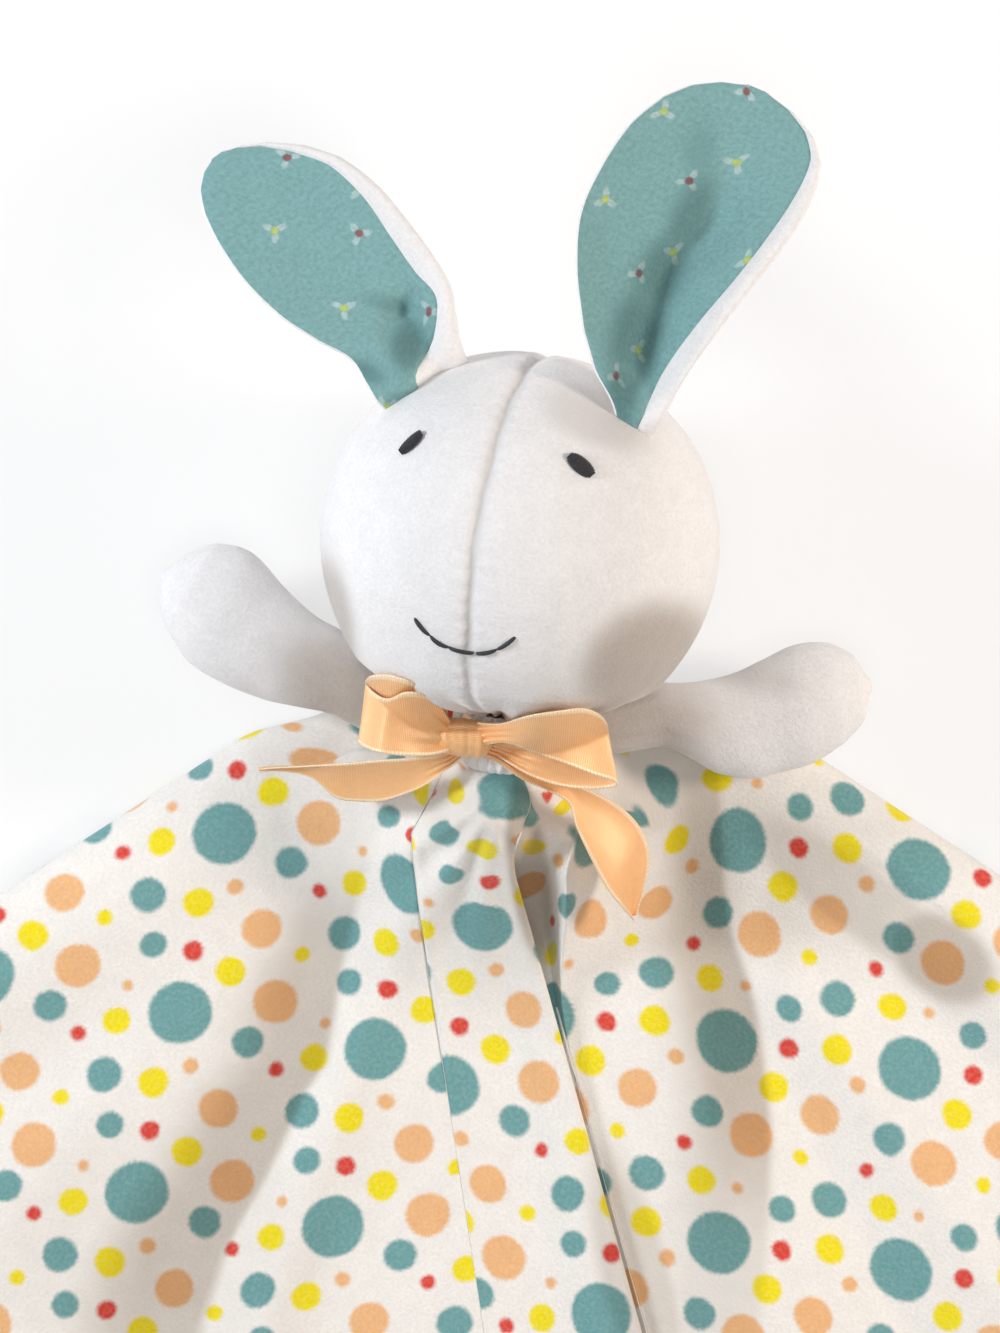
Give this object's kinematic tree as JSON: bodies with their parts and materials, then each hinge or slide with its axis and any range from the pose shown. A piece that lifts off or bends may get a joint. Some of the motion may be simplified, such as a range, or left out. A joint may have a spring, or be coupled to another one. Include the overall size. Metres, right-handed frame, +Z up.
{
  "type": "comfort blanket lovey",
  "caption": "Comfort blanket lovey lying on its back: a stuffed rabbit head and arms sewn to the middle of a soft lined square blanket, with ribbon bow and floppy ears.",
  "frame": {"origin": "on the table, on the flat underside of the folded blanket, below the chin", "axes": "+Z up from the table, out of the face; +Y from the blanket towards the ears; +X to the viewer's right"},
  "size_m": [0.3124, 0.3512, 0.1042],
  "materials": {
    "white_velour": "short white pile, matte",
    "printed_velour": "off-white short pile printed with soft round dots, matte",
    "teal_velour": "teal short pile with a slight sheen",
    "fibrefill": "white polyester wadding, matte",
    "dark_thread": "charcoal embroidery thread, slight sheen",
    "seam_thread": "pale sewing thread, matte",
    "peach_satin": "peach ribbed satin ribbon, woven edges"
  },
  "bodies": {
    "blanket": {"blanket_face": "printed_velour", "blanket_lining": "white_velour", "neck_gather": "white_velour", "neck_ribbon": "peach_satin", "bow_knot": "peach_satin", "bow_left_loop": "peach_satin", "bow_right_loop": "peach_satin"},
    "head": {"head_left_panel": "white_velour", "head_right_panel": "white_velour", "head_stuffing": "fibrefill", "centre_seam_thread": "seam_thread", "left_eye": "dark_thread", "right_eye": "dark_thread", "mouth_left_stitch": "dark_thread", "mouth_right_stitch": "dark_thread"},
    "left_ear": {"left_ear_root": "white_velour", "left_ear_back": "white_velour", "left_ear_lining": "teal_velour"},
    "right_ear": {"right_ear_root": "white_velour", "right_ear_back": "white_velour", "right_ear_lining": "teal_velour"},
    "left_arm": {"left_arm_cover": "white_velour", "left_arm_stuffing": "fibrefill"},
    "right_arm": {"right_arm_cover": "white_velour", "right_arm_stuffing": "fibrefill"},
    "left_tail": {"bow_left_tail": "peach_satin"},
    "right_tail": {"bow_right_tail": "peach_satin"}
  },
  "joints": [
    {"name": "head_turn", "type": "hinge", "parent": "blanket", "child": "head", "pos_m": [0.0012, 0.0456, 0.0561], "axis": [0.0956, 0.9746, 0.2027], "range_deg": [-30, 30], "stiffness_Nm_per_rad": 0.06},
    {"name": "left_ear_flop", "type": "hinge", "parent": "head", "child": "left_ear", "pos_m": [-0.02303, 0.08572, 0.07489], "axis": [0.809, 0.5878, 0], "range_deg": [-20, 60], "stiffness_Nm_per_rad": 0.02},
    {"name": "right_ear_flop", "type": "hinge", "parent": "head", "child": "right_ear", "pos_m": [0.02496, 0.07872, 0.08591], "axis": [0.9212, -0.3891, 0], "range_deg": [-20, 60], "stiffness_Nm_per_rad": 0.02},
    {"name": "left_arm_lift", "type": "hinge", "parent": "blanket", "child": "left_arm", "pos_m": [-0.023, 0.002, 0.0262], "axis": [0.5, 0.866, 0], "range_deg": [0, 25]},
    {"name": "right_arm_lift", "type": "hinge", "parent": "blanket", "child": "right_arm", "pos_m": [0.0135, 0.001, 0.026], "axis": [0.1281, -0.8091, -0.5736], "range_deg": [0, 40]},
    {"name": "left_tail_lift", "type": "hinge", "parent": "blanket", "child": "left_tail", "pos_m": [-0.01242, -0.00169, 0.05655], "axis": [-0.118, 0.8986, 0.4226], "range_deg": [0, 45]},
    {"name": "right_tail_lift", "type": "hinge", "parent": "blanket", "child": "right_tail", "pos_m": [-0.01242, -0.00169, 0.05655], "axis": [-0.4669, -0.4418, -0.766], "range_deg": [0, 40]}
  ]
}
